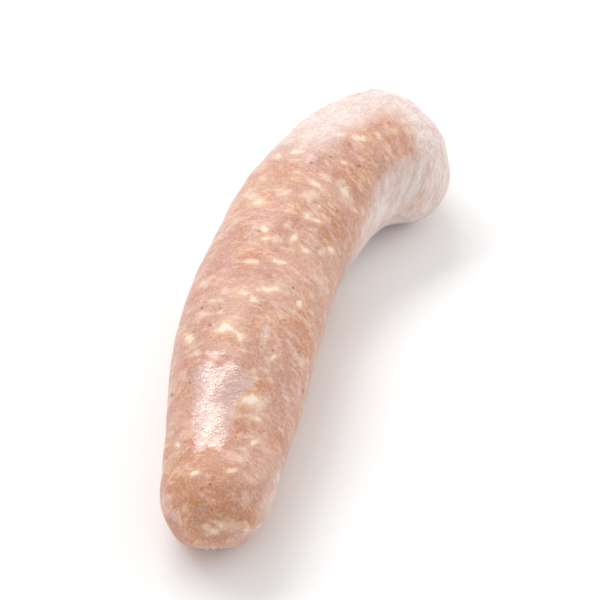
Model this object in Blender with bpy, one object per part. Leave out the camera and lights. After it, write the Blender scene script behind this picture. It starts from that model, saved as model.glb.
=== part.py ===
# A raw sausage link in its natural casing, lying on its side.
# Units are metres, with +Z up. The link runs back along +Y, and its back end bends towards +X.

import math
import random

import bmesh
import bpy
from mathutils import Vector

QUARTER = math.pi / 2.0

# Middle line between the rounded ends, seen from above. Headings are turned from +Y towards +X.
BODY_LENGTH = 0.1206
START_HEADING = math.radians(7.8)
BEND = math.radians(58.8)
BEND_POWER = 3.43

# Radius of the stuffed casing: slimmer at the front, full from a third on, with a slight waist
FRONT_RADIUS = 0.0134
FULL_RADIUS = 0.0167
TAPER_SHARE = 0.37
WAIST_PLACE = 0.62
WAIST_WIDTH = 0.16
WAIST_DEPTH = 0.0006

# Rounded ends. Each tied tip is turned away from straight ahead, towards its roll. That runs from the
# right over the bottom to the left.
FRONT_CAP = 0.0168
BACK_CAP = 0.0152
CAP_BLUNTNESS = 2.15
FRONT_TIP_TURN = math.radians(46.0)
FRONT_TIP_ROLL = math.radians(90.0)
BACK_TIP_TURN = math.radians(20.0)
BACK_TIP_ROLL = math.radians(180.0)
LEAN_POWER = 1.3

# Slump of the soft meat, and how far it is pressed flat on what it lies on
WIDTH_SPREAD = 1.025
HEIGHT_SLUMP = 0.955
FLOOR_PRESS = 0.0011

# Pleats of the gathered casing, how far from the tip they reach, and how the twisting pulled them round.
# Their shifts and half widths are shares of an even step round the end.
PLEAT_COUNT = 10
PLEAT_SHIFT = 0.28
PLEAT_WIDTHS = (0.22, 0.40)
FRONT_PLEAT_REACH = math.radians(34.0)
BACK_PLEAT_REACH = math.radians(62.0)
PLEAT_DEPTH = 0.0007
PLEAT_LIMIT = 0.22
PLEAT_TWIST = math.radians(35.0)

# Knot of wrung casing in a dimple at each tip: radius of each ring, and how far it stands out of the skin
KNOT_RINGS = (
    (0.0021, -0.0002),
    (0.0015, -0.0005),
    (0.0010, -0.0005),
    (0.0009, 0.0001),
    (0.0012, 0.0006),
    (0.0007, 0.0007),
)
KNOT_TOP = 0.0005
KNOT_LOBES = 3
KNOT_LOBE_SHARE = 0.15

# Uneven filling: bulges and dents, low waves over the skin, and a back half with softly flattened sides.
# A bulge has its place along the link, its angle round it from the right over the top, and its height.
BULGES = (
    (0.117, math.radians(140.0), 0.0023),
    (0.110, math.radians(-35.0), -0.0016),
    (0.133, math.radians(112.0), -0.0004),
    (0.127, math.radians(-42.0), 0.0007),
    (-0.007, math.radians(180.0), -0.0011),
    (-0.012, math.radians(215.0), 0.0008),
    (-0.013, math.radians(300.0), -0.0015),
)
BULGE_REACH = 0.013
WAVE_COUNT = 8
WAVE_HEIGHT = 0.00010
WAVE_LENGTHS = (0.024, 0.070)
MOST_WAVES_ROUND = 3
FLAT_SIDES = 4
FLAT_SIDE_DEPTH = 0.00035
FLAT_SIDE_TURN = 1.1

# Fineness of the surface
SIDES = 60
CAP_RINGS = 12
BODY_RINGS = 46
PATH_STEPS = 600

MEAT_COLOUR = (0.66, 0.40, 0.30, 1.0)
MEAT_ROUGHNESS = 0.36

SEED = 11


def clear_scene():
    for obj in list(bpy.data.objects):
        bpy.data.objects.remove(obj)


def limit(value):
    return min(1.0, max(0.0, value))


def smooth_step(value):
    value = limit(value)
    return value * value * (3.0 - 2.0 * value)


def full_radius(share):
    """Radius at a share of the way along the body."""
    taper = (FULL_RADIUS - FRONT_RADIUS) * (1.0 + math.cos(math.pi * limit(share / TAPER_SHARE))) / 2.0
    waist = WAIST_DEPTH * math.exp(-(((share - WAIST_PLACE) / WAIST_WIDTH) ** 2))
    return FULL_RADIUS - taper - waist


def heading_at(share):
    return START_HEADING + BEND * share**BEND_POWER


def make_path():
    """Points of the middle line at even steps. Each step follows the heading at its middle."""
    points = [Vector((0.0, 0.0))]
    for i in range(PATH_STEPS):
        heading = heading_at((i + 0.5) / PATH_STEPS)
        ahead = Vector((math.sin(heading), math.cos(heading)))
        points.append(points[-1] + ahead * BODY_LENGTH / PATH_STEPS)
    return points


def cross_section(path, share):
    """Middle of a section, and the directions along the link and to its right."""
    place = share * PATH_STEPS
    i = min(PATH_STEPS - 1, int(place))
    heading = heading_at(share)
    along = Vector((math.sin(heading), math.cos(heading)))
    right = Vector((math.cos(heading), -math.sin(heading)))
    return path[i].lerp(path[i + 1], place - i), along, right


def make_waves():
    """Each wave's waves per metre along the link, waves round it, and phase."""
    draw = random.Random(SEED)
    waves = []
    for _ in range(WAVE_COUNT):
        rate = math.tau / draw.uniform(*WAVE_LENGTHS)
        around = draw.randint(0, MOST_WAVES_ROUND)
        waves.append((rate, around, draw.uniform(0.0, math.tau)))
    return waves


def unevenness(waves, along, right, up, radius):
    """How far the skin stands out of the even shape. Right and up are shares of the radius.

    The waves and flattened sides fade where a rounded end crosses the middle line.
    """
    angle, across = math.atan2(up, right), math.hypot(right, up)
    wave = sum(math.cos(along * rate + around * angle + phase) for rate, around, phase in waves)
    flat = smooth_step(2.0 * along / BODY_LENGTH - 1.0) * math.cos(FLAT_SIDES * angle - FLAT_SIDE_TURN)
    height = (WAVE_HEIGHT * wave - FLAT_SIDE_DEPTH * flat) * across
    for place, turn, bulge in BULGES:
        gap = Vector((radius * (right - math.cos(turn)), along - place, radius * (up - math.sin(turn))))
        height += bulge * math.exp(-gap.length_squared / BULGE_REACH**2)
    return height


def make_pleats(seed):
    """Angle and width of each fold of one gathered end, unevenly spaced."""
    draw = random.Random(seed)
    step = math.tau / PLEAT_COUNT
    pleats = []
    for i in range(PLEAT_COUNT):
        middle = (i + draw.uniform(-PLEAT_SHIFT, PLEAT_SHIFT)) * step
        pleats.append((middle, draw.uniform(*PLEAT_WIDTHS) * step))
    return pleats


def fold_share(pleats, angle):
    """1 in the bottom of a fold, 0 on the ridges between the folds."""
    offsets = [((angle - middle + math.pi) % math.tau - math.pi) / width for middle, width in pleats]
    return math.exp(-min(abs(offset) for offset in offsets) ** 2)


def add_point(bm, middle, aside, radius, up):
    """A point of the skin: aside is flat, up is in radii above the middle, and the floor stops it."""
    height = radius * HEIGHT_SLUMP * (1.0 + up) - FLOOR_PRESS
    return bm.verts.new((middle.x + aside.x, middle.y + aside.y, max(0.0, height)))


def body_ring(bm, path, share, waves):
    """A ring across the middle line. Its first point is on the right, its second quarter on top."""
    middle, _, right = cross_section(path, share)
    radius = full_radius(share)
    ring = []
    for i in range(SIDES):
        angle = math.tau * i / SIDES
        out = unevenness(waves, share * BODY_LENGTH, math.cos(angle), math.sin(angle), radius)
        size = 1.0 + out / radius
        aside = right * radius * size * math.cos(angle) * WIDTH_SPREAD
        ring.append(add_point(bm, middle, aside, radius, size * math.sin(angle)))
    return ring


def cap_direction(rise, angle, turn, roll):
    """Ahead, right and up parts of a direction in a ball whose rings lean towards its turned tip.

    They lean more as the rise grows, from 0 on the body's last ring to a quarter turn at the tip.
    """
    lean = turn * (rise / QUARTER) ** LEAN_POWER
    towards, away = math.sin(rise), math.cos(rise) * math.cos(angle + roll)
    upright = math.cos(rise) * math.sin(angle + roll)
    ahead = towards * math.cos(lean) - away * math.sin(lean)
    sideways = towards * math.sin(lean) + away * math.cos(lean)
    right = sideways * math.cos(roll) + upright * math.sin(roll)
    up = upright * math.cos(roll) - sideways * math.sin(roll)
    return max(0.0, ahead), right, up


class RoundedEnd:
    """One end of the link: a blunt ball over the body's last ring, gathered into a knot at its turned tip."""

    def __init__(self, path, waves, at_front):
        self.waves = waves
        self.share = 0.0 if at_front else 1.0
        self.way = -1.0 if at_front else 1.0
        self.middle, along, self.right = cross_section(path, self.share)
        self.ahead = along * self.way
        self.radius = full_radius(self.share)
        self.length = FRONT_CAP if at_front else BACK_CAP
        self.turn = FRONT_TIP_TURN if at_front else BACK_TIP_TURN
        self.roll = FRONT_TIP_ROLL if at_front else BACK_TIP_ROLL
        self.reach = FRONT_PLEAT_REACH if at_front else BACK_PLEAT_REACH
        self.pleats = make_pleats(SEED + 1 if at_front else SEED + 2)

    def point(self, bm, rise, angle, out):
        """A point at a rise and angle, standing out of the uneven skin."""
        ahead, right, up = cap_direction(rise, angle, self.turn, self.roll)
        across = math.hypot(right, up)
        along = self.share * BODY_LENGTH + self.way * ahead * self.radius
        out += unevenness(self.waves, along, right, up, self.radius)
        size = (ahead**CAP_BLUNTNESS + across**CAP_BLUNTNESS) ** (-1.0 / CAP_BLUNTNESS) + out / self.radius
        aside = (self.ahead * ahead * self.length + self.right * right * self.radius * WIDTH_SPREAD) * size
        return add_point(bm, self.middle, aside, self.radius, up * size)

    def fold_depth(self, rise, angle):
        """Depth of the folds, which grow towards the tip until their ring gets too small for them."""
        near = smooth_step(1.0 - (QUARTER - rise) / self.reach)
        fold = fold_share(self.pleats, angle + PLEAT_TWIST * near * near)
        return fold * min(PLEAT_DEPTH * near, PLEAT_LIMIT * self.radius * math.cos(rise))

    def skin_rings(self, bm):
        """Rings from beside the body's last ring to the edge of the knot."""
        last = QUARTER - KNOT_RINGS[0][0] / self.radius
        rings = []
        for step in range(1, CAP_RINGS):
            rise = last * step / CAP_RINGS
            angles = [math.tau * i / SIDES for i in range(SIDES)]
            rings.append([self.point(bm, rise, angle, -self.fold_depth(rise, angle)) for angle in angles])
        return rings

    def knot_rings(self, bm):
        rings = []
        for size, out in KNOT_RINGS:
            ring = []
            for i in range(SIDES):
                angle = math.tau * i / SIDES
                lobed = size * (1.0 + KNOT_LOBE_SHARE * math.cos(KNOT_LOBES * angle))
                ring.append(self.point(bm, QUARTER - lobed / self.radius, angle, out))
            rings.append(ring)
        return rings

    def tip(self, bm):
        return self.point(bm, QUARTER, 0.0, KNOT_TOP)


def bridge(bm, first, second):
    for i in range(SIDES):
        j = (i + 1) % SIDES
        bm.faces.new((first[i], first[j], second[j], second[i]))


def close_tip(bm, ring, tip):
    for i in range(SIDES):
        bm.faces.new((ring[i], ring[(i + 1) % SIDES], tip))


def stand_on_origin(bm):
    """Puts the middle of the foot of the link's box at the origin."""
    for axis in range(2):
        values = [v.co[axis] for v in bm.verts]
        middle = (min(values) + max(values)) / 2.0
        for v in bm.verts:
            v.co[axis] -= middle


def make_link(material):
    """The whole link as one solid: the body and two rounded ends, each closed by its knot."""
    path, waves = make_path(), make_waves()
    bm = bmesh.new()
    front, back = RoundedEnd(path, waves, at_front=True), RoundedEnd(path, waves, at_front=False)
    body = [body_ring(bm, path, i / BODY_RINGS, waves) for i in range(BODY_RINGS + 1)]
    front_rings = front.skin_rings(bm) + front.knot_rings(bm)
    back_rings = back.skin_rings(bm) + back.knot_rings(bm)
    rings = front_rings[::-1] + body + back_rings
    for first, second in zip(rings, rings[1:]):
        bridge(bm, first, second)
    close_tip(bm, rings[0], front.tip(bm))
    close_tip(bm, rings[-1], back.tip(bm))
    bmesh.ops.recalc_face_normals(bm, faces=bm.faces)
    stand_on_origin(bm)

    mesh = bpy.data.meshes.new("sausage_link")
    bm.to_mesh(mesh)
    bm.free()
    mesh.shade_smooth()
    mesh.materials.append(material)
    link = bpy.data.objects.new("sausage_link", mesh)
    bpy.context.scene.collection.objects.link(link)


def make_meat_material():
    material = bpy.data.materials.new("stuffed_casing")
    material.use_nodes = True
    shader = material.node_tree.nodes["Principled BSDF"]
    shader.inputs["Base Color"].default_value = MEAT_COLOUR
    shader.inputs["Roughness"].default_value = MEAT_ROUGHNESS
    shader.inputs["Metallic"].default_value = 0.0
    return material


def main():
    clear_scene()
    make_link(make_meat_material())


main()
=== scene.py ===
import math
import random

import bpy
import numpy as np
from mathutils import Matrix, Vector


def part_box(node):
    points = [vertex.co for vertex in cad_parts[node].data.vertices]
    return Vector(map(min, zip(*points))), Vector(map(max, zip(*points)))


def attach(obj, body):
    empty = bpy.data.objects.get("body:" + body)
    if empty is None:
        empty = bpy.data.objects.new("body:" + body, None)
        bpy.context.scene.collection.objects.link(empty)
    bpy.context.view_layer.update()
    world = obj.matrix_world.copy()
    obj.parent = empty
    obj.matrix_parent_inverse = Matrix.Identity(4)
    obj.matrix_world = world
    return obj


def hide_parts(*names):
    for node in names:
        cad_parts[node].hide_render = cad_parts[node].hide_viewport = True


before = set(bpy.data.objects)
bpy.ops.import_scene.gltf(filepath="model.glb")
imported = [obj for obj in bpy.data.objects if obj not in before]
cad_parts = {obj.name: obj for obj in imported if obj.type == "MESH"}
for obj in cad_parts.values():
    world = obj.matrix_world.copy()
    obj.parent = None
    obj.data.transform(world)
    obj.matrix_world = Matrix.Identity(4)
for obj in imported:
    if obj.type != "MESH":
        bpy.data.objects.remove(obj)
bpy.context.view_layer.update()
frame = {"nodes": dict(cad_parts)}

# Lengths are in millimetres and angles in degrees, until they go into Blender.
mm = 0.001
quarter = math.pi / 2.0
solid = "sausage_link"
print("frame loaded:", ", ".join(frame["nodes"]))

# The filled casing. The sizes down to the seed are those of the solid that it stands for.
link = dict(
    bodyLength=120.6, startHeading=7.8, bend=58.8, bendPower=3.43,
    frontRadius=13.4, fullRadius=16.7, taperShare=0.37,
    waistPlace=0.62, waistWidth=0.16, waistDepth=0.6,
    bluntness=2.15, leanPower=1.3,
    spread=1.025, slump=0.955, press=1.1,
    bulges=[                                        # place along, angle from the right over the top, height
        (117.0, 140.0, 2.3), (110.0, -35.0, -1.6), (133.0, 112.0, -0.4), (127.0, -42.0, 0.7),
        (-7.0, 180.0, -1.1), (-12.0, 215.0, 0.8), (-13.0, 300.0, -1.5),
    ],
    bulgeReach=13.0,
    waveCount=8, waveHeight=0.10, waveLengths=(24.0, 70.0), mostWavesRound=3,
    flatSides=4.0, flatSide=0.35, flatTurn=1.1,
    pleatCount=10, pleatDepth=0.7, pleatLimit=0.22, pleatTwist=35.0,
    pleatShift=0.28, pleatWidths=(0.22, 0.40),      # as shares of the step between pleats
    seed=11,
    # finer than the solid
    settle=0.5,                                     # rounds the edge of the flat strip underneath
    finePleats=31, finePleatDepth=0.16, finePleatLimit=0.10, finePleatDraw=3,
    chunkLengths=(5.0, 11.0), chunkHeight=0.11, chunkDraw=4,    # lumps of the coarse filling
    ruckLengths=(1.1, 2.6), ruckHeight=0.035, ruckDraw=5,       # rucks in the slack casing, along the comb
    leastRucks=0.1,                                 # what is left of them where the casing is tight
    calmRadius=6.0,                                 # lumps and rucks fade out from here to each tip
    combLean=68.0, combNear=18.0,                   # the comb, as the camera sees it: up and towards it
    ruckSqueeze=0.13, streakSqueeze=0.11,
    dimple=1.3, dimpleDepth=0.45,                   # where each knot sits
    tipGap=0.3,                                     # from the last ring to each tip
    roundSteps=324, bodySteps=190, capSteps=58,
)

# The rounded ends: how far the tied tip is turned aside, and to which roll, from the right over the bottom
ends = dict(
    front=dict(at=0.0, way=-1.0, cap=16.8, turn=46.0, roll=90.0, pleatReach=34.0, fineReach=30.0, draw=1),
    back=dict(at=link["bodyLength"], way=1.0, cap=15.2, turn=20.0, roll=180.0,
              pleatReach=62.0, fineReach=75.0, draw=2),
)

# Where the casing is slack and whitish, and whitened further as a painted sheen of the bright surroundings.
# Places run along the link, angles from the right over the top.
frostAndSheen = dict(
    line=[(75.0, -12.0), (90.0, 10.0), (100.0, 26.0), (110.0, 42.0), (120.0, 47.0)],    # its edge in the bend
    lineSpan=(-14.0, 16.0), underSpan=(-170.0, -120.0), innerSpan=(68.0, 96.0),
    sideSpan=(78.0, 104.0), outerSpan=(88.0, 108.0), underneath=-90.0, farSide=180.0,
    endSpan=(118.0, 127.0),
)

# The camera of the photo, a long lens that looks down on the table. Its film is square.
photo = dict(target=(-3.0, 18.0, 0.0), elevation=45.0, distance=750.0, film=36.0, lens=180.0, pixels=600)


# 0 below, 1 above, and an even S between
def easeStep(value, low=0.0, high=1.0):
    value = np.clip((value - low) / (high - low), 0.0, 1.0)
    return value * value * (3.0 - 2.0 * value)


# full radius, less half a cosine wave of taper at the front, less a bell-shaped waist
def fullRadius(along):
    share = np.clip(along / link["bodyLength"], 0.0, 1.0)
    narrow = (1.0 + np.cos(math.pi * np.clip(share / link["taperShare"], 0.0, 1.0))) / 2.0
    waist = link["waistDepth"] * np.exp(-(((share - link["waistPlace"]) / link["waistWidth"]) ** 2))
    return link["fullRadius"] - (link["fullRadius"] - link["frontRadius"]) * narrow - waist


# start heading plus the bend times a power of the share of the length
def headingAt(along):
    return np.radians(link["startHeading"] + link["bend"] * (along / link["bodyLength"]) ** link["bendPower"])


# running sum of the heading's direction over short steps, read off at the places asked for
def middleLine(along, steps=1200):
    stops = np.linspace(0.0, link["bodyLength"], steps + 1)
    heading = headingAt((stops[1:] + stops[:-1]) / 2.0)
    step = link["bodyLength"] / steps
    x = np.concatenate([[0.0], np.cumsum(np.sin(heading)) * step])
    y = np.concatenate([[0.0], np.cumsum(np.cos(heading)) * step])
    return np.interp(along, stops, x), np.interp(along, stops, y), headingAt(along)


# rings of the body: the angle runs from the right over the top, and nothing lies ahead of a ring
def bodyPart(along, angle):
    none = np.zeros(np.broadcast(along, angle).shape)
    return dict(at=along + none, way=none + 1.0, cap=none, radius=fullRadius(along) + none, rise=none,
                ahead=none, right=np.cos(angle) + none, up=np.sin(angle) + none, ring=angle + none)


# rings of a ball, from its equator at rise 0 to its tip, which lean towards the turned tip by a power of the
# rise
def capPart(end, rise, angle):
    lean = math.radians(end["turn"]) * (rise / quarter) ** link["leanPower"]
    roll = math.radians(end["roll"])
    towards, away = np.sin(rise), np.cos(rise) * np.cos(angle + roll)
    upright = np.cos(rise) * np.sin(angle + roll)
    sideways = towards * np.sin(lean) + away * np.cos(lean)
    none = np.zeros(upright.shape)
    return dict(at=end["at"] + none, way=end["way"] + none, cap=end["cap"] + none,
                radius=fullRadius(end["at"]) + none, rise=rise + none,
                ahead=np.maximum(0.0, towards * np.cos(lean) - away * np.sin(lean)),
                right=sideways * math.cos(roll) + upright * math.sin(roll),
                up=upright * math.cos(roll) - sideways * math.sin(roll), ring=angle + none)


# even size of a blunt ball in each direction, a superellipse of ahead and across
def evenSize(part):
    power, across = link["bluntness"], np.hypot(part["right"], part["up"])
    return (part["ahead"] ** power + across ** power) ** (-1.0 / power)


# low waves and flattened sides, which fade where an end crosses the middle line, and bell-shaped bulges
def unevenness(part):
    radius, right, up = part["radius"], part["right"], part["up"]
    along = part["at"] + part["way"] * part["ahead"] * radius
    angle = np.arctan2(up, right)
    draw = random.Random(link["seed"])
    backHalf = easeStep(2.0 * along / link["bodyLength"] - 1.0)
    height = -link["flatSide"] * backHalf * np.cos(link["flatSides"] * angle - link["flatTurn"])
    for _ in range(link["waveCount"]):
        rate = math.tau / draw.uniform(*link["waveLengths"])
        around = draw.randint(0, link["mostWavesRound"])
        phase = draw.uniform(0.0, math.tau)
        height = height + link["waveHeight"] * np.cos(along * rate + around * angle + phase)
    height = height * np.hypot(right, up)
    for place, turn, bulge in link["bulges"]:
        turn = math.radians(turn)
        sideGap, upGap = radius * (right - math.cos(turn)), radius * (up - math.sin(turn))
        gap = sideGap ** 2 + (along - place) ** 2 + upGap ** 2
        height = height + bulge * np.exp(-gap / link["bulgeReach"] ** 2)
    return height


# points that stand out of the even skin, carried along the bent middle line and never below the table
def placeOnLink(part, out):
    x, y, heading = middleLine(part["at"])
    size = evenSize(part) + out / part["radius"]
    forward = part["way"] * part["ahead"] * part["cap"] * size
    aside = part["right"] * part["radius"] * link["spread"] * size
    up = part["radius"] * link["slump"] * (1.0 + part["up"] * size) - link["press"]
    up = (up + np.sqrt(up ** 2 + link["settle"] ** 2)) / 2.0
    return np.stack([x + forward * np.sin(heading) + aside * np.cos(heading),
                     y + forward * np.cos(heading) - aside * np.sin(heading), up], axis=-1)


# the same points on an unbent link, where patterns are worked out
def unbentPlace(part):
    size = evenSize(part)
    along = part["at"] + part["way"] * part["ahead"] * part["cap"] * size
    radius = part["radius"]
    return np.stack([radius * part["right"] * size, along, radius * part["up"] * size], axis=-1)


# space squeezed along one direction, so that what is drawn in it is combed that way
def combed(place, squeeze):
    rise, lean, near = (math.radians(v) for v in (photo["elevation"], link["combLean"], link["combNear"]))
    up, out = math.sin(lean) * math.cos(near), math.sin(near)
    along = np.array([math.cos(lean) * math.cos(near), up * math.sin(rise) - out * math.cos(rise),
                      up * math.cos(rise) + out * math.sin(rise)])
    return place - (1.0 - squeeze) * (place @ along)[..., None] * along


# 1 in the bottom of a fold and 0 on the ridges, a bell across each fold
def foldShare(angle, count, seed):
    draw = random.Random(seed)
    step = math.tau / count
    nearest = np.full(angle.shape, np.inf)
    for i in range(count):
        middle = (i + draw.uniform(-link["pleatShift"], link["pleatShift"])) * step
        width = draw.uniform(*link["pleatWidths"]) * step
        nearest = np.minimum(nearest, np.abs((angle - middle + math.pi) % math.tau - math.pi) / width)
    return np.exp(-(nearest ** 2))


# plane waves in every direction with random phases, added up to a root mean square of 1
def roughness(place, lengths, seed, waves=70):
    draw = np.random.default_rng(seed)
    ways = draw.normal(size=(waves, 3))
    ways *= (math.tau / draw.uniform(*lengths, size=waves) / np.linalg.norm(ways, axis=1))[:, None]
    phases = draw.uniform(0.0, math.tau, waves)
    total = np.zeros(place.shape[:-1])
    for way, phase in zip(ways, phases):
        total += np.cos(place @ way + phase)
    return total * math.sqrt(2.0 / waves)


# folds that deepen towards the tip of an end, few and deep ones and many fine ones
def foldDepth(part, end):
    short = quarter - part["rise"]
    near = easeStep(1.0 - short / math.radians(end["pleatReach"]))
    turned = part["ring"] + math.radians(link["pleatTwist"]) * near ** 2
    ringRadius = part["radius"] * np.cos(part["rise"])
    deep = foldShare(turned, link["pleatCount"], link["seed"] + end["draw"])
    deep = deep * np.minimum(link["pleatDepth"] * near, link["pleatLimit"] * ringRadius)
    near = easeStep(1.0 - short / math.radians(end["fineReach"]))
    fine = foldShare(turned, link["finePleats"], link["seed"] + link["finePleatDraw"])
    return deep + fine * np.minimum(link["finePleatDepth"] * near, link["finePleatLimit"] * ringRadius)


# a bell-shaped dip round each tip
def dimpleDepth(part):
    ringRadius = part["radius"] * np.cos(part["rise"])
    return link["dimpleDepth"] * np.exp(-((ringRadius / link["dimple"]) ** 2))


# the highest of three soft-edged fields of whitish casing and painted sheen: inside the bend up to a slanting
# line, outside the bend, and the whole back end
def frostAndSheenVeil(part, unbent):
    along, angle = unbent[..., 1], np.degrees(np.arctan2(part["up"], part["right"]))
    line = np.interp(along, *zip(*frostAndSheen["line"]))
    inner = easeStep(line - angle, *frostAndSheen["lineSpan"]) * easeStep(angle, *frostAndSheen["underSpan"])
    inner = inner * easeStep(along, *frostAndSheen["innerSpan"])
    side = np.where(angle < frostAndSheen["underneath"], frostAndSheen["farSide"], angle)
    outer = easeStep(side, *frostAndSheen["sideSpan"]) * easeStep(along, *frostAndSheen["outerSpan"])
    return np.maximum(np.maximum(inner, outer), easeStep(along, *frostAndSheen["endSpan"]))


# normals of a grid of points that closes on itself round its second axis
def gridNormals(points):
    down = np.gradient(points, axis=0)
    around = np.roll(points, -1, axis=1) - np.roll(points, 1, axis=1)
    normals = np.cross(down, around)
    return normals / np.maximum(np.linalg.norm(normals, axis=-1, keepdims=True), 1e-9)


# a mesh from rings of points, closed by a point at each end, with its fields as attributes
def ringMesh(name, rings, firstTip, lastTip, fields=None):
    count, sides = rings.shape[:2]
    points = np.concatenate([rings.reshape(-1, 3), [firstTip], [lastTip]]) * mm
    row, column = np.meshgrid(np.arange(count - 1), np.arange(sides), indexing="ij")
    nextColumn = (column + 1) % sides
    quads = np.stack([row * sides + column, (row + 1) * sides + column,
                      (row + 1) * sides + nextColumn, row * sides + nextColumn], axis=-1).reshape(-1, 4)
    column = np.arange(sides)
    nextColumn = (column + 1) % sides
    first, last, lastRow = count * sides, count * sides + 1, (count - 1) * sides
    fan = np.concatenate([
        np.stack([column, nextColumn, np.full(sides, first)], axis=-1),
        np.stack([lastRow + nextColumn, lastRow + column, np.full(sides, last)], axis=-1),
    ])
    mesh = bpy.data.meshes.new(name)
    mesh.from_pydata(points.tolist(), [], quads.tolist() + fan.tolist())
    for field, values in (fields or {}).items():
        flat = values.reshape(count * sides, -1)
        tips = np.stack([flat[:sides].mean(axis=0), flat[lastRow:].mean(axis=0)])
        values = np.concatenate([flat, tips]).astype(np.float32)
        kind, slot = ("FLOAT", "value") if values.shape[1] == 1 else ("FLOAT_VECTOR", "vector")
        mesh.attributes.new(field, kind, "POINT").data.foreach_set(slot, values.ravel())
    mesh.shade_smooth()
    mesh.update()
    return mesh


# a dressed piece that rides on the root body and takes the solid's place
def addPiece(name, mesh, material):
    piece = bpy.data.objects.new(name, mesh)
    bpy.context.scene.collection.objects.link(piece)
    mesh.materials.append(material)
    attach(piece, "root")
    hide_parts(solid)


# where points in the frame fall in the photo, in its pixels
def inPhoto(points):
    rise = math.radians(photo["elevation"])
    view = np.array([0.0, math.cos(rise), -math.sin(rise)])
    up = np.array([0.0, math.sin(rise), math.cos(rise)])
    offset = points - (np.array(photo["target"]) - view * photo["distance"])
    scale = photo["lens"] / photo["film"] * photo["pixels"] / (offset @ view)
    middle = photo["pixels"] / 2.0
    return np.stack([middle + scale * offset[..., 0], middle - scale * (offset @ up)], axis=-1), view


# 1 less the distance from a spot's middle, in its half sizes; the highest of all spots counts
def paintSpots(pixels, facing, spots):
    field = np.full(pixels.shape[:-1], -1.0)
    for x, y, halfLong, halfWide, lean in spots:
        turn = math.radians(lean)
        dx, dy = pixels[..., 0] - x, pixels[..., 1] - y
        long = (dx * math.cos(turn) - dy * math.sin(turn)) / halfLong
        wide = (dx * math.sin(turn) + dy * math.cos(turn)) / halfWide
        field = np.maximum(field, 1.0 - np.sqrt(long ** 2 + wide ** 2))
    return np.where(facing, field, -1.0)


# how deep inside an outline each point lies, in the photo's pixels, or how far outside as a negative
def paintPatches(pixels, facing, outlines, far=99.0):
    field = np.full(pixels.shape[:-1], -far)
    px, py = pixels[..., 0], pixels[..., 1]
    for outline in outlines:
        inside, nearest = np.zeros(px.shape, bool), np.full(px.shape, far)
        for (ax, ay), (bx, by) in zip(outline, outline[1:] + outline[:1]):
            crosses = ((ay > py) != (by > py)) & (px < ax + (py - ay) * (bx - ax) / ((by - ay) or 1e-9))
            inside ^= crosses
            share = ((px - ax) * (bx - ax) + (py - ay) * (by - ay)) / ((bx - ax) ** 2 + (by - ay) ** 2)
            share = np.clip(share, 0.0, 1.0)
            nearest = np.minimum(nearest, np.hypot(px - ax - share * (bx - ax), py - ay - share * (by - ay)))
        field = np.maximum(field, np.where(inside, nearest, -nearest))
    return np.where(facing, field, -far)


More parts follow.
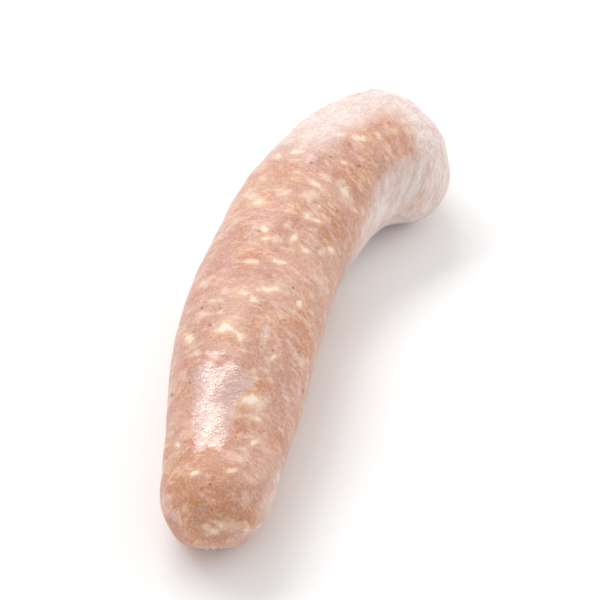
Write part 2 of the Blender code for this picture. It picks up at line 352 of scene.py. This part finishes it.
# What the photo shows on this link's skin: x, y in its pixels, half length, half width, lean up to the right.
marks = dict(
    fat=[
        (189, 338, 6, 6, 0), (254, 299, 6, 4, 0), (300, 304, 4, 5, -40), (273, 357, 6, 3, 20),
        (257, 419, 6, 3, -30), (360, 138, 9, 4, -8), (340, 134, 7, 2, 0), (378, 135, 6, 3, -42),
        (345, 163, 7, 2, -25), (316, 184, 10, 3, -25), (259, 202, 8, 4, 10), (345, 191, 9, 5, -58),
        (308, 216, 6, 5, -30), (317, 221, 6, 3, -20), (319, 206, 3, 2, -30), (267, 238, 6, 3, 5),
        (294, 238, 6, 4, 55), (305, 250, 7, 3, -35), (331, 250, 5, 4, -40), (280, 262, 11, 3, -14),
        (264, 229, 4, 4, 0), (297, 152, 8, 3, 10), (278, 156, 4, 3, 0), (195, 473, 7, 3, 20),
        (222, 526, 5, 3, 0), (213, 531, 6, 4, -10), (231, 471, 7, 3, 10), (253, 443, 7, 3, 30),
        (178, 445, 4, 3, 0),
    ],
    faint=[
        (306, 138, 11, 5, 5), (285, 192, 10, 4, 5), (251, 196, 11, 5, 0), (311, 195, 13, 6, 10),
        (277, 239, 9, 6, 0), (205, 284, 8, 4, 15), (203, 314, 8, 4, 5), (220, 300, 5, 3, 0),
        (302, 363, 4, 8, 0), (197, 352, 5, 4, 0), (322, 252, 5, 5, 0), (288, 225, 6, 4, 10),
        (340, 183, 7, 5, -30), (206, 527, 5, 5, 0), (260, 405, 9, 8, 40),
    ],
    warm=[
        (196, 478, 46, 48, 0), (206, 510, 56, 40, 0), (240, 520, 24, 18, 0), (260, 387, 6, 8, 0),
        (243, 407, 6, 4, 0), (224, 336, 18, 8, 0), (352, 178, 16, 18, 60), (330, 226, 14, 24, 10),
        (230, 430, 24, 10, 0), (305, 330, 12, 40, 0), (250, 260, 20, 10, 30),
    ],
    crease=[
        (246, 530, 8, 1.6, -3), (259, 526, 8, 1.4, 38), (173, 537, 10, 1.6, -52), (270, 513, 14, 1.4, 66),
        (280, 497, 12, 1.3, 74),
    ],
    pepper=[
        (293, 288, 1.5, 2.6, 20), (259, 231, 4.2, 1.3, -28), (210, 325, 2.8, 2.2, 0), (273, 351, 1.4, 2.8, 0),
        (248, 354, 2.0, 1.4, 0), (303, 391, 1.5, 2.8, 0), (172, 395, 2.2, 3.6, -15), (190, 383, 1.6, 2.2, 0),
        (226, 388, 2.4, 1.8, 0), (215, 316, 1.3, 1.3, 0), (220, 308, 2.2, 1.3, 0), (202, 308, 2.4, 1.4, 30),
        (194, 332, 3.2, 1.4, 0), (266, 376, 1.3, 1.3, 0), (210, 484, 1.8, 2.2, 0), (177, 490, 1.6, 1.4, 0),
        (236, 437, 1.5, 1.4, 0), (181, 476, 1.4, 1.2, 0), (248, 463, 1.4, 1.3, 0), (331, 157, 2.0, 1.3, 0),
        (308, 150, 2.0, 1.2, -20), (311, 163, 2.8, 1.8, 0), (359, 166, 3.2, 1.8, 0), (345, 172, 1.3, 1.2, 0),
        (352, 174, 1.4, 1.6, 0), (323, 198, 1.7, 1.3, 0), (280, 234, 1.7, 1.4, 0), (321, 120, 1.8, 1.1, 0),
        (345, 105, 2.0, 1.2, 0), (364, 149, 1.5, 1.1, 0), (184, 501, 1.4, 1.3, 0), (183, 516, 1.3, 1.3, 0),
    ],
    ochre=[(421, 195, 9, 1.8, 58), (411, 207, 7, 1.4, 45)],
    # pale rims of casing at the front's edges, partly a painted sheen
    paleRimAndSheen=[(271, 500, 34, 9, 70), (216, 551, 40, 5, 2), (252, 532, 16, 5, 15)],
)

# Outlines in the photo's pixels: big bits of fat, the wettest skin, whose colour is whitened as a painted
# highlight, and skin without the whitish veil and its painted sheen
patches = dict(
    fat=[
        [(212, 332), (216, 333), (227, 331), (231, 332), (236, 335), (239, 339), (241, 344), (242, 338),
         (247, 337), (239, 331), (234, 328), (229, 323), (223, 322), (220, 326)],
        [(238, 401), (241, 404), (247, 405), (254, 404), (264, 401), (259, 397), (252, 393), (245, 396)],
        [(253, 289), (267, 287), (280, 286), (278, 292), (268, 292), (254, 290)],
        [(236, 292), (243, 290), (250, 292), (246, 296), (241, 295)],
    ],
    # the wettest skin, also whitened in colour as a painted highlight
    wetAndHighlight=[
        [(193, 369), (206, 362), (220, 366), (232, 361), (246, 371), (260, 379), (252, 389), (239, 396),
         (234, 412), (230, 432), (220, 450), (206, 447), (195, 452), (192, 420), (196, 395)],
        [(264, 325), (268, 322), (269, 332), (265, 343), (262, 336)],
        [(206, 353), (226, 352), (224, 356), (209, 357)],
    ],
    bare=[
        [(374, 126), (392, 122), (409, 124), (416, 138), (414, 152), (398, 160), (386, 172), (370, 190),
         (350, 200), (340, 160)],
    ],
)


# front end, body and back end as one run of rings, with folds, dimples, lumps and rucks, set over the middle
# of the solid
def makeSkin(material):
    angle = np.arange(link["roundSteps"])[None] * math.tau / link["roundSteps"]
    last = quarter - link["tipGap"] / link["fullRadius"]
    rise = np.linspace(last, 0.0, link["capSteps"], endpoint=False)[:, None]
    along = np.linspace(0.0, link["bodyLength"], link["bodySteps"])[:, None]
    front, back = capPart(ends["front"], rise, angle), capPart(ends["back"], rise[::-1], angle)
    parts = [front, bodyPart(along, angle), back]
    part = {field: np.concatenate([each[field] for each in parts]) for field in front}

    unbent = unbentPlace(part)
    # the veil: whitish casing, which is also a painted sheen
    veilAndSheen = frostAndSheenVeil(part, unbent)
    out = unevenness(part)
    for end in ends.values():
        onEnd = (part["way"] == end["way"]) & (part["ahead"] > 0.0)
        out = out - np.where(onEnd, foldDepth(part, end), 0.0)
    out = out - dimpleDepth(part)
    calm = easeStep(part["radius"] * np.cos(part["rise"]) / link["calmRadius"])
    lumps = roughness(unbent, link["chunkLengths"], link["seed"] + link["chunkDraw"])
    out += calm * link["chunkHeight"] * lumps
    combPlace = combed(placeOnLink(part, out), link["ruckSqueeze"])
    rucks = roughness(combPlace, link["ruckLengths"], link["seed"] + link["ruckDraw"])
    out += calm * link["ruckHeight"] * rucks * (link["leastRucks"] + veilAndSheen)
    points = placeOnLink(part, out)

    low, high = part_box(solid)
    middle = (np.array(low) + np.array(high))[:2] / 2.0 / mm
    shift = np.append(middle - (points.min(axis=(0, 1)) + points.max(axis=(0, 1)))[:2] / 2.0, 0.0)
    points = points + shift
    pixels, view = inPhoto(points)
    facing = gridNormals(points) @ view < 0.0
    fields = dict(meatPlace=unbent, combPlace=combed(points, link["streakSqueeze"]), frostAndSheen=veilAndSheen)
    for mark, spots in marks.items():
        fields[mark + "Spots"] = paintSpots(pixels, facing, spots)
    for mark, outlines in patches.items():
        fields[mark + "Patch"] = paintPatches(pixels, facing, outlines)
    mesh = ringMesh("sausageSkin", points, points[0].mean(axis=0), points[-1].mean(axis=0), fields)
    print("skin:", len(mesh.vertices), "points, foot at", round(float(points[..., 2].min()), 3), "mm")
    addPiece("sausageSkin", mesh, material)
    return shift


# A knot of bare casing, wrung at its neck and ruffled at its lip. Its stops are root, neck, lip, mouth and
# bottom, each with its radius and how far it stands out.
knot = dict(
    stops=[(1.20, -1.20), (0.80, -0.50), (0.95, 0.02), (0.55, 0.06), (0.0, -0.25)],
    blend=0.30, lipStop=2.2, lipReach=0.8,
    lobes=3, lobeShare=0.15, lobeFade=0.6, turn=80.0,
    ruffles=7, ruffleShare=0.16, ruffleRise=0.16, ruffleStart=0.8, riseStart=-0.6,
    steps=40, sides=64,
)


# smooth curve through the stops, then lobes that turn with the distance and ruffles that grow to the lip
def makeKnot(name, end, shift, material):
    stops = np.array(knot["stops"])
    step = np.linspace(0.0, len(stops) - 1.0, knot["steps"])[:-1]
    weights = np.exp(-((step[:, None] - np.arange(len(stops))[None]) ** 2) / knot["blend"])
    path = weights @ stops / weights.sum(axis=1, keepdims=True)
    angle = np.arange(knot["sides"])[None] * math.tau / knot["sides"]
    radius, out = path[:, :1], path[:, 1:]
    lip = np.exp(-((step[:, None] - knot["lipStop"]) ** 2) / knot["lipReach"])
    turned = angle + math.radians(knot["turn"]) * out
    lobes = knot["lobeShare"] * np.cos(knot["lobes"] * turned) * (1.0 - knot["lobeFade"] * lip)
    ruffles = knot["ruffleShare"] * lip * np.cos(knot["ruffles"] * turned + knot["ruffleStart"])
    radius = radius * (1.0 + lobes) * (1.0 + ruffles)
    out = out + knot["ruffleRise"] * lip * np.cos(knot["ruffles"] * turned + knot["riseStart"])
    part = capPart(end, quarter - radius / fullRadius(end["at"]), angle + np.zeros(radius.shape))
    rings = (placeOnLink(part, out + unevenness(part)) + shift)[::-int(end["way"])]
    addPiece(name, ringMesh(name, rings, rings[0].mean(axis=0), rings[-1].mean(axis=0)), material)


# One socket of a material, so that shader maths can be written as Python.
class Wire:
    def __init__(self, tree, socket=None):
        self.tree, self.socket = tree, socket

    # adds a node: its settings first, then the values or wires of its sockets
    def add(self, kind, settings=None, sockets=None, out=0):
        made = self.tree.nodes.new(kind)
        for name, value in (settings or {}).items():
            setattr(made, name, value)
        for name, value in (sockets or {}).items():
            if isinstance(value, Wire):
                self.tree.links.new(value.socket, made.inputs[name])
            else:
                made.inputs[name].default_value = value
        return Wire(self.tree, made.outputs[out])

    def attribute(self, name, out="Fac"):
        return self.add("ShaderNodeAttribute", dict(attribute_name=name), out=out)

    def output(self, name):
        return Wire(self.tree, self.socket.node.outputs[name])

    def math(self, operation, first, second=0.0):
        return self.add("ShaderNodeMath", dict(operation=operation), {0: first, 1: second})

    def __add__(self, other):
        return self.math("ADD", self, other)

    def __sub__(self, other):
        return self.math("SUBTRACT", self, other)

    def __rsub__(self, other):
        return self.math("SUBTRACT", other, self)

    def __mul__(self, other):
        return self.math("MULTIPLY", self, other)

    def __abs__(self):
        return self.math("ABSOLUTE", self)

    __radd__ = __add__
    __rmul__ = __mul__

    def atLeast(self, other):
        return self.math("MAXIMUM", self, other)

    # 0 below low, 1 above high, smooth between
    def ease(self, low, high):
        return self.add("ShaderNodeMapRange", dict(interpolation_type="SMOOTHSTEP"),
                        {"Value": self, "From Min": low, "From Max": high})

    def noise(self, size, detail=2.0, rough=0.5):
        return self.add("ShaderNodeTexNoise", None,
                        {"Vector": self, "Scale": 1.0 / size, "Detail": detail, "Roughness": rough})

    def vector(self, operation, other):
        return self.add("ShaderNodeVectorMath", dict(operation=operation), {0: self, 1: other})

    # pushed about by a coloured noise, by up to half of reach each way
    def stirred(self, size, reach, detail=2.0):
        push = self.noise(size, detail).output("Color").vector("SUBTRACT", (0.5, 0.5, 0.5))
        return self.vector("ADD", push.vector("MULTIPLY", (reach, reach, reach)))

    # a painted field whose edge is made ragged by a noise round 0.5
    def painted(self, name, noise, ragged):
        return self.attribute(name) + (noise - 0.5) * ragged

    # this colour where factor is 0 and the other, given as 0 to 255, where it is 1
    def mixed(self, factor, other, blend="MIX"):
        return mixColours(self, factor, self, linear(*other), blend)

    def feeds(self, shader, name):
        self.tree.links.new(self.socket, shader.inputs[name])


def mixColours(wire, factor, first, second, blend="MIX"):
    return wire.add("ShaderNodeMix", dict(data_type="RGBA", blend_type=blend),
                    {0: factor, 6: first, 7: second}, out=2)


# a screen colour of 0 to 255 as light: a straight foot, then a power of 2.4
def linear(*screen):
    shares = [value / 255.0 for value in screen]
    return tuple(v / 12.92 if v <= 0.04 else ((v + 0.055) / 1.055) ** 2.4 for v in shares) + (1.0,)


# bits of many sizes strewn through the filling, one to a cell, some left out: how deep inside a bit a point
# lies, which is its size less the distance from its middle, and how much of it shows, from a fifth to all
def strewn(place, bits):
    cells = place.add("ShaderNodeTexVoronoi", None, {"Vector": place, "Scale": 1.0 / bits["cell"]})
    draws = cells.add("ShaderNodeSeparateColor", None, {"Color": cells.output("Color")})
    size = draws.output("Green") * (bits["biggest"] - bits["smallest"]) + bits["smallest"]
    kept = draws.ease(0.99 - bits["share"], 1.0 - bits["share"])
    return size - cells * bits["cell"], kept * (draws.output("Blue") * 0.8 + 0.2)


# Fresh coarse filling seen through a thin moist casing. Colours are those of the photo, as 0 to 255. A noise
# is size, detail and roughness, and a stir size and reach. A span is where a layer starts to count and where
# it counts in full, a share how much of it there is at most, and ragged how far its painted edge wanders.
meat = dict(
    tan=(208, 158, 136), mauve=(192, 138, 124), warm=(196, 130, 92), pale=(229, 190, 161),
    blush=(229, 194, 183), fibre=(236, 204, 180),
    drift=dict(noise=(15.0, 2.0), span=(0.36, 0.64), share=0.72),
    warmth=dict(shift=(40.0, 0.0, 7.0), noise=(8.0, 3.0), span=(0.48, 0.68), share=0.62,
                ragged=1.2, paintSpan=(-0.25, 0.55), paintShare=0.92),
    smear=dict(stretch=(0.5, 1.0, 0.5), stir=(5.0, 3.6)),
    lamina=dict(noise=(2.6, 6.0, 0.66), leanSpan=(0.35, 0.49), leanShare=0.78,
                fattySpan=(0.51, 0.65), fattyShare=0.76),
    flush=dict(shift=(3.0, 9.0, 5.0), noise=(3.4, 5.0, 0.66), span=(0.53, 0.66), share=0.62),
    grain=dict(stir=(0.7, 0.6), noise=(0.55, 2.0, 0.6), darkSpan=(0.33, 0.53), darkShare=0.20,
               paleSpan=(0.51, 0.70), paleShare=0.30),
    net=dict(stir=(1.8, 1.8), noise=(1.2, 3.0, 0.6), span=(0.0, 0.06), share=0.26),
)


# the tone of the ground meat: slow drifts, then lean and fat smeared across the link, then grain
def meatTone(start, place):
    drift, warmth, lamina, flush, grain = (meat[v] for v in ("drift", "warmth", "lamina", "flush", "grain"))
    slow = place.noise(*drift["noise"]).ease(*drift["span"]) * drift["share"]
    colour = mixColours(start, slow, linear(*meat["tan"]), linear(*meat["mauve"]))
    warm = place.vector("ADD", warmth["shift"]).noise(*warmth["noise"])
    spots = start.painted("warmSpots", warm, warmth["ragged"]).ease(*warmth["paintSpan"])
    warm = (warm.ease(*warmth["span"]) * warmth["share"]).atLeast(spots * warmth["paintShare"])
    colour = colour.mixed(warm, meat["warm"])

    smear = place.vector("MULTIPLY", meat["smear"]["stretch"]).stirred(*meat["smear"]["stir"])
    layers = smear.noise(*lamina["noise"])
    colour = colour.mixed((1.0 - layers.ease(*lamina["leanSpan"])) * lamina["leanShare"], meat["mauve"])
    colour = colour.mixed(layers.ease(*lamina["fattySpan"]) * lamina["fattyShare"], meat["pale"])
    blush = smear.vector("ADD", flush["shift"]).noise(*flush["noise"])
    colour = colour.mixed(blush.ease(*flush["span"]) * flush["share"], meat["blush"])

    fine = place.stirred(*grain["stir"]).noise(*grain["noise"])
    dark = (1.0 - fine.ease(*grain["darkSpan"])) * grain["darkShare"]
    colour = colour.mixed(dark, meat["mauve"], "MULTIPLY")
    return colour.mixed(fine.ease(*grain["paleSpan"]) * grain["paleShare"], meat["fibre"]), layers, fine


# Bits of fat with a soft glow round them, the big ones where the photo has them
fat = dict(
    colour=(241, 223, 206), share=0.90, glow=(230, 190, 153), glowShare=0.55,
    edgeStir=(1.0, 0.9), edgeNoise=(1.3, 5.0, 0.72),
    spotRagged=2.6, spotSpan=(0.0, 0.75), spotShare=0.9, spotGlow=(-0.9, 0.5),
    patchRagged=10.0, patchSpan=(-1.0, 2.6), patchGlow=(-8.0, 1.0),
    faintRagged=2.4, faintSpan=(-0.2, 0.9), faintShare=0.50,
    strewnStretch=(0.6, 1.0, 0.6), strewnStir=(1.3, 1.9, 4.0),
    strewnSpan=(-0.25, 0.5), strewnGlow=(-0.9, 0.4),
    strewn=[
        dict(cell=2.1, smallest=0.12, biggest=0.62, share=0.62, strength=0.76, shift=(2.1, 5.0, 3.0)),
        dict(cell=4.4, smallest=0.2, biggest=1.3, share=0.30, strength=0.66, shift=(4.4, 5.0, 3.0)),
    ],
)


# how much of a bit of fat there is, and of the glow round it
def fatBits(start, place):
    edge = place.stirred(*fat["edgeStir"]).noise(*fat["edgeNoise"])
    spots = start.painted("fatSpots", edge, fat["spotRagged"])
    patch = start.painted("fatPatch", edge, fat["patchRagged"])
    faint = start.painted("faintSpots", edge, fat["faintRagged"]).ease(*fat["faintSpan"]) * fat["faintShare"]
    core = (spots.ease(*fat["spotSpan"]) * fat["spotShare"]).atLeast(patch.ease(*fat["patchSpan"]))
    core = core.atLeast(faint)
    glow = spots.ease(*fat["spotGlow"]).atLeast(patch.ease(*fat["patchGlow"])).atLeast(faint)
    ragged = place.vector("MULTIPLY", fat["strewnStretch"]).stirred(*fat["strewnStir"])
    for bits in fat["strewn"]:
        depth, weight = strewn(ragged.vector("ADD", bits["shift"]), bits)
        core = core.atLeast(depth.ease(*fat["strewnSpan"]) * weight * bits["strength"])
        glow = glow.atLeast(depth.ease(*fat["strewnGlow"]) * weight * bits["strength"])
    return core, glow


# Ground pepper, and rusty specks of spice
specks = dict(
    pepper=dict(colour=(66, 54, 52), stir=(0.5, 0.6), shift=(0.0, 0.0, 0.0),
                cell=3.4, smallest=0.02, biggest=0.30, share=0.50, span=(-0.16, 0.16), strength=0.70,
                ragged=1.4, paintSpan=(0.0, 0.75), paintShare=0.72),
    rust=dict(colour=(150, 88, 60), stir=(0.5, 0.5), shift=(2.0, 4.0, 8.0),
              cell=2.8, smallest=0.05, biggest=0.30, share=0.55, span=(-0.12, 0.12), strength=0.75),
)


# depth inside the nearest speck, eased over its edge and weighted
def strewnSpecks(place, bits):
    depth, weight = strewn(place.stirred(*bits["stir"]).vector("ADD", bits["shift"]), bits)
    return depth.ease(*bits["span"]) * weight * bits["strength"]


# Whitish casing, combed into streaks where it is slack and whitened further by a painted sheen, with a bare
# patch, thin pale rims that are partly painted sheen, stains and creases
slackAndSheen = dict(
    # pale and dark are the veil's colours: whitish casing, lightened further as a painted sheen
    pale=(236, 225, 221), dark=(214, 194, 189), stain=(214, 164, 108),
    streakStir=(2.0, 0.8), streakNoise=(0.66, 4.0, 0.62), broadNoise=(2.4, 3.0, 0.55),
    bareRagged=9.0, bareSpan=(-1.5, 3.5), bareShare=0.92,
    paleRimAndSheenRagged=1.2, paleRimAndSheenSpan=(-0.5, 1.0), paleRimAndSheenShare=0.55,
    streakPart=0.55, broadPart=0.45, coverSpan=(0.38, 0.62), coverShare=0.52, leastCover=0.40,
    darkSpan=(0.36, 0.48), darkShare=0.55,
    stainRagged=2.0, stainSpan=(0.0, 0.8), stainShare=0.6,
    creaseRagged=1.6, creaseSpan=(0.0, 0.8), creaseShare=0.8,
)


# the colour under the veil of slack casing and its painted sheen, and how much there is of streak, veil and
# crease
def addSlackAndSheen(start, combPlace, grain, colour):
    streak = combPlace.stirred(*slackAndSheen["streakStir"]).noise(*slackAndSheen["streakNoise"])
    broad = combPlace.noise(*slackAndSheen["broadNoise"])
    bare = start.painted("barePatch", broad, slackAndSheen["bareRagged"]).ease(*slackAndSheen["bareSpan"])
    # pale rims of casing, partly a painted sheen at the edges
    paleRimAndSheen = start.painted("paleRimAndSheenSpots", broad, slackAndSheen["paleRimAndSheenRagged"]).ease(*slackAndSheen["paleRimAndSheenSpan"])
    # the veil is whitish slack casing together with a painted sheen where bright surroundings would reflect
    veilAndSheen = start.attribute("frostAndSheen") * (1.0 - bare * slackAndSheen["bareShare"])
    veilAndSheen = veilAndSheen.atLeast(paleRimAndSheen * slackAndSheen["paleRimAndSheenShare"])
    cover = (streak * slackAndSheen["streakPart"] + broad * slackAndSheen["broadPart"]).ease(*slackAndSheen["coverSpan"])
    colour = colour.mixed(veilAndSheen * (cover * slackAndSheen["coverShare"] + slackAndSheen["leastCover"]), slackAndSheen["pale"])
    colour = colour.mixed(veilAndSheen * (1.0 - streak.ease(*slackAndSheen["darkSpan"])) * slackAndSheen["darkShare"], slackAndSheen["dark"])
    stain = start.painted("ochreSpots", streak, slackAndSheen["stainRagged"]).ease(*slackAndSheen["stainSpan"])
    colour = colour.mixed(stain * slackAndSheen["stainShare"], slackAndSheen["stain"])
    crease = start.painted("creaseSpots", grain, slackAndSheen["creaseRagged"]).ease(*slackAndSheen["creaseSpan"])
    return colour.mixed(crease * slackAndSheen["creaseShare"], slackAndSheen["pale"]), streak, veilAndSheen, crease


# The moist surface, finely wrinkled all over and crinkled where it is wettest, where its colour is also
# whitened as a painted highlight. Heights are in millimetres.
moist = dict(
    paintedHighlightColour=(240, 222, 221), paintedHighlightShare=0.36, wetNoise=(1.4, 4.0, 0.7), wetRagged=14.0, wetSpan=(-2.5, 2.5),
    wrinkleStir=(2.0, 1.4), wrinkleNoise=(0.9, 4.0, 0.66),
    crinkleStretch=(0.5, 1.0, 0.5), crinkleStir=(1.4, 1.5), crinkleNoise=(0.55, 2.0, 0.55),
    wrinkleHeight=0.06, crinkleHeight=0.24, laminaHeight=0.05, streakHeight=0.16,
    fatHeight=0.02, creaseHeight=0.05, pepperDepth=0.02,
    roughNoise=(5.0, 3.0), roughDrift=0.24, rough=0.44, wetRough=0.22, wetMirror=0.28,
    refraction=1.47, sheen=0.16, sheenRough=0.4,
    through=0.15, throughColours=(1.0, 0.5, 0.35), throughReach=0.9,
)


# ground meat, a net of fibres, fat, specks and slack casing with its painted sheen laid over each other, then
# the moist surface with its painted highlight
def makeMeat():
    material = bpy.data.materials.new("freshSausage")
    material.use_nodes = True
    shader = material.node_tree.nodes["Principled BSDF"]
    start = Wire(material.node_tree)
    place = start.attribute("meatPlace", "Vector")
    colour, lamina, grain = meatTone(start, place)

    net = abs(place.stirred(*meat["net"]["stir"]).noise(*meat["net"]["noise"]) - 0.5)
    colour = colour.mixed((1.0 - net.ease(*meat["net"]["span"])) * meat["net"]["share"], meat["fibre"])
    bits, glow = fatBits(start, place)
    colour = colour.mixed(glow * fat["glowShare"], fat["glow"])
    colour = colour.mixed(bits * fat["share"], fat["colour"])

    ground = specks["pepper"]
    pepper = start.painted("pepperSpots", grain, ground["ragged"]).ease(*ground["paintSpan"])
    pepper = (pepper * ground["paintShare"]).atLeast(strewnSpecks(place, ground))
    colour = colour.mixed(pepper, ground["colour"])
    colour = colour.mixed(strewnSpecks(place, specks["rust"]), specks["rust"]["colour"])
    colour, streak, veilAndSheen, crease = addSlackAndSheen(start, start.attribute("combPlace", "Vector"), grain, colour)

    wetAndHighlight = start.painted("wetAndHighlightPatch", place.noise(*moist["wetNoise"]), moist["wetRagged"])
    wetAndHighlight = wetAndHighlight.ease(*moist["wetSpan"])
    # the wettest skin whitened in colour: a painted highlight
    colour.mixed(wetAndHighlight * moist["paintedHighlightShare"], moist["paintedHighlightColour"]).feeds(shader, "Base Color")
    wrinkles = place.stirred(*moist["wrinkleStir"]).noise(*moist["wrinkleNoise"])
    crinkles = place.vector("MULTIPLY", moist["crinkleStretch"]).stirred(*moist["crinkleStir"])
    crinkles = (crinkles.noise(*moist["crinkleNoise"]) - 0.5) * wetAndHighlight
    height = wrinkles * moist["wrinkleHeight"] + crinkles * moist["crinkleHeight"]
    height = height + lamina * moist["laminaHeight"] + streak * veilAndSheen * moist["streakHeight"]
    height = height + bits * moist["fatHeight"] + crease * moist["creaseHeight"]
    height = height - pepper * moist["pepperDepth"]
    bump = start.add("ShaderNodeBump", None, {"Height": height * mm, "Strength": 1.0, "Distance": 1.0})
    bump.feeds(shader, "Normal")

    rough = (place.noise(*moist["roughNoise"]) - 0.5) * moist["roughDrift"] + moist["rough"]
    (rough - wetAndHighlight * (moist["rough"] - moist["wetRough"])).feeds(shader, "Roughness")
    (wetAndHighlight * moist["wetMirror"]).feeds(shader, "Metallic")
    shader.inputs["IOR"].default_value = moist["refraction"]
    shader.inputs["Subsurface Weight"].default_value = moist["through"]
    shader.inputs["Subsurface Radius"].default_value = moist["throughColours"]
    shader.inputs["Subsurface Scale"].default_value = moist["throughReach"] * mm
    shader.inputs["Sheen Weight"].default_value = moist["sheen"]
    shader.inputs["Sheen Roughness"].default_value = moist["sheenRough"]
    return material


# Bare casing, thin and see-through, drawn into strands
casing = dict(
    pale=(236, 216, 204), pink=(222, 184, 168), strandNoise=(0.5 * mm, 3.0, 0.6), strandSpan=(0.4, 0.62),
    strandHeight=0.08, rough=0.36, through=0.5, throughColours=(1.0, 0.6, 0.45), throughReach=0.8,
)


# a noise of strands, which mixes the two colours and stands up as ridges
def makeCasing():
    material = bpy.data.materials.new("bareCasing")
    material.use_nodes = True
    shader = material.node_tree.nodes["Principled BSDF"]
    start = Wire(material.node_tree)
    strand = start.add("ShaderNodeTexCoord", out="Object").noise(*casing["strandNoise"])
    pale, pink = linear(*casing["pale"]), linear(*casing["pink"])
    mixColours(start, strand.ease(*casing["strandSpan"]), pink, pale).feeds(shader, "Base Color")
    height = strand * (casing["strandHeight"] * mm)
    bump = start.add("ShaderNodeBump", None, {"Height": height, "Strength": 1.0, "Distance": 1.0})
    bump.feeds(shader, "Normal")
    shader.inputs["Roughness"].default_value = casing["rough"]
    shader.inputs["Subsurface Weight"].default_value = casing["through"]
    shader.inputs["Subsurface Radius"].default_value = casing["throughColours"]
    shader.inputs["Subsurface Scale"].default_value = casing["throughReach"] * mm
    return material


meatMaterial, casingMaterial = makeMeat(), makeCasing()
print("materials made")
shift = makeSkin(meatMaterial)
makeKnot("frontKnot", ends["front"], shift, casingMaterial)
makeKnot("backKnot", ends["back"], shift, casingMaterial)
print("link and knots made")


# A white table without an edge in sight, a wide soft light above, behind and to the left, a weaker one to the
# right, and bright surroundings
studio = dict(
    table=3.0, tableWhite=0.94, tableRough=0.55, surroundings=0.75,
    lights=dict(
        overhead=dict(place=(-300.0, 400.0, 600.0), aim=(-10.0, 0.0, 10.0), size=(760.0, 260.0), watts=3.3),
        right=dict(place=(640.0, 260.0, 420.0), aim=(20.0, 40.0, 12.0), size=(500.0, 500.0), watts=1.2),
    ),
)


# one square under the link, wide enough that no edge shows
def makeTable():
    half = studio["table"] / 2.0
    corners = [(-half, -half, 0.0), (half, -half, 0.0), (half, half, 0.0), (-half, half, 0.0)]
    mesh = bpy.data.meshes.new("table")
    mesh.from_pydata(corners, [], [(0, 1, 2, 3)])
    material = bpy.data.materials.new("paleTable")
    material.use_nodes = True
    shader = material.node_tree.nodes["Principled BSDF"]
    shader.inputs["Base Color"].default_value = (studio["tableWhite"],) * 3 + (1.0,)
    shader.inputs["Roughness"].default_value = studio["tableRough"]
    mesh.materials.append(material)
    table = bpy.data.objects.new("table", mesh)
    bpy.context.scene.collection.objects.link(table)


# an area light that faces from its place to its aim
def makeLight(name, sizes):
    light = bpy.data.lights.new(name, "AREA")
    light.shape = "RECTANGLE"
    light.size, light.size_y = (v * mm for v in sizes["size"])
    light.energy = sizes["watts"]
    holder = bpy.data.objects.new(name, light)
    holder.location = Vector(sizes["place"]) * mm
    aim = Vector(sizes["aim"]) - Vector(sizes["place"])
    holder.rotation_euler = aim.to_track_quat("-Z", "Y").to_euler()
    bpy.context.scene.collection.objects.link(holder)


# the photo's camera, backed off from its target along its line of sight
def makeCamera():
    rise = math.radians(photo["elevation"])
    lens = bpy.data.cameras.new("photoCamera")
    lens.sensor_width, lens.lens = photo["film"], photo["lens"]
    camera = bpy.data.objects.new("photoCamera", lens)
    back = Vector((0.0, -math.cos(rise), math.sin(rise)))
    camera.location = (Vector(photo["target"]) + back * photo["distance"]) * mm
    camera.rotation_euler = (quarter - rise, 0.0, 0.0)
    bpy.context.scene.collection.objects.link(camera)
    bpy.context.scene.camera = camera


# even white from all sides, and plain screen colours
def makeWorld():
    world = bpy.data.worlds.new("studioWhite")
    world.use_nodes = True
    background = world.node_tree.nodes["Background"]
    background.inputs["Color"].default_value = (1.0, 1.0, 1.0, 1.0)
    background.inputs["Strength"].default_value = studio["surroundings"]
    bpy.context.scene.world = world
    bpy.context.scene.view_settings.view_transform = "Standard"


makeTable()
for name, sizes in studio["lights"].items():
    makeLight(name, sizes)
makeWorld()
makeCamera()
print("studio set")

bpy.context.view_layer.update()
